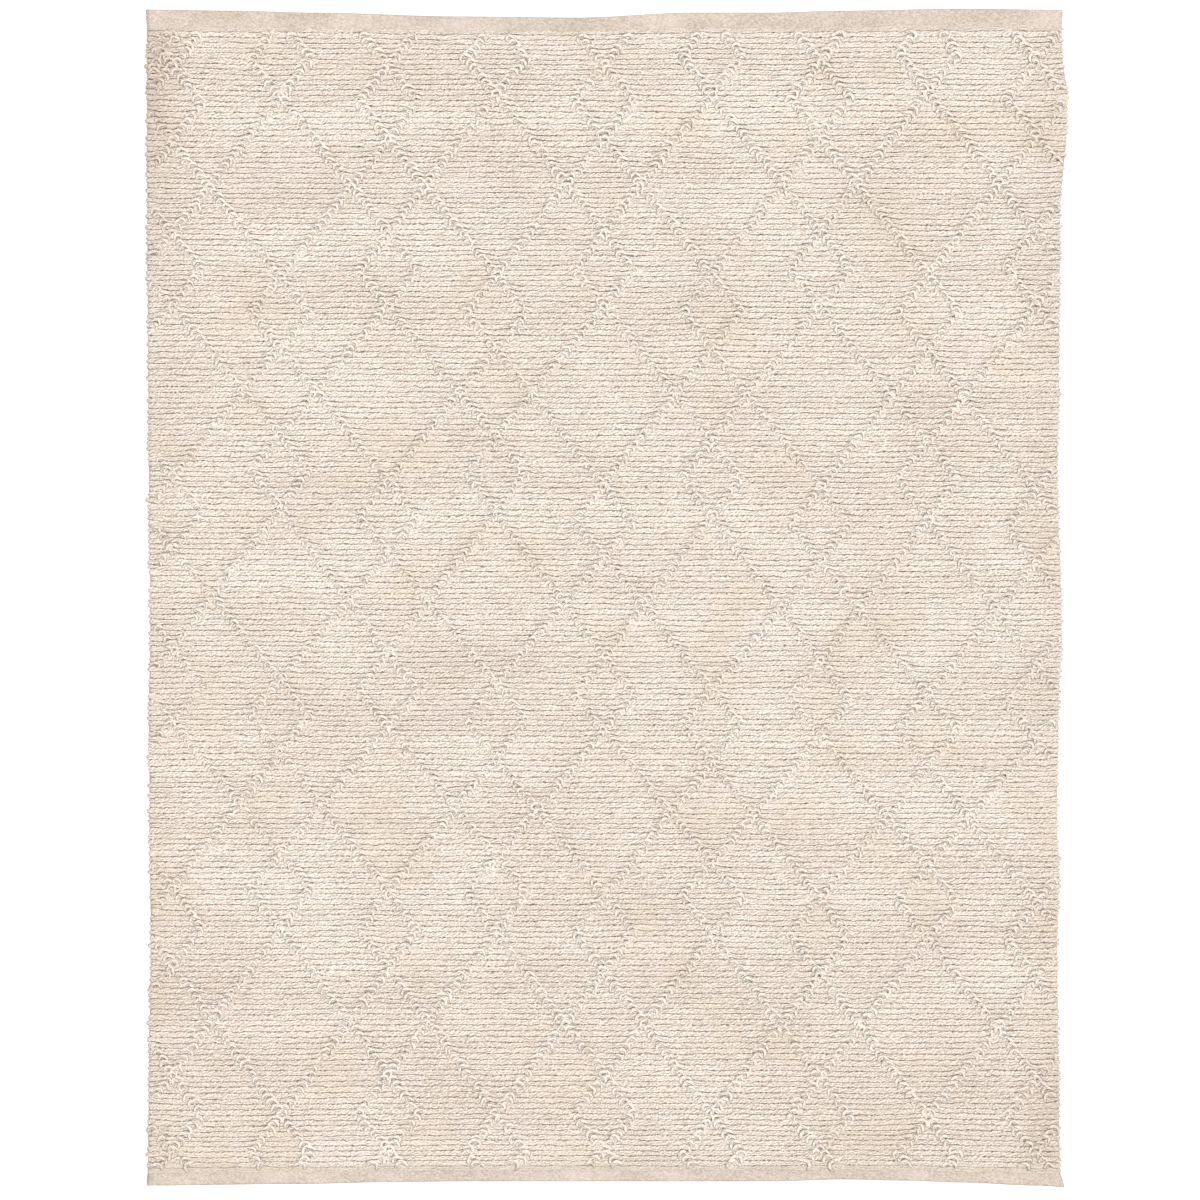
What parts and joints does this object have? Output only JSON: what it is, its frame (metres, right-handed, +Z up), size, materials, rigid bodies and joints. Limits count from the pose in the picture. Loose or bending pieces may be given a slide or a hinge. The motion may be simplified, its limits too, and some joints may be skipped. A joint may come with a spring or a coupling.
{
  "type": "jute rug",
  "caption": "Large flat-lying woven jute rug: chunky weft ribs, a raised looped diamond trellis, and a thin woven hem at each end.",
  "frame": {"origin": "middle of the underside, on the floor that the rug lies on", "axes": "+Y along the rug's length, towards the hem at the top of the picture; +X across it; +Z up, out of the looped face"},
  "size_m": [2.402, 3.0664, 0.017],
  "materials": {
    "jute_yarn": "matt natural cream jute yarn, thick ribbed weave with raised loops, slightly uneven in tone"
  },
  "bodies": {
    "root": {"jute_rug": "jute_yarn"}
  },
  "joints": []
}
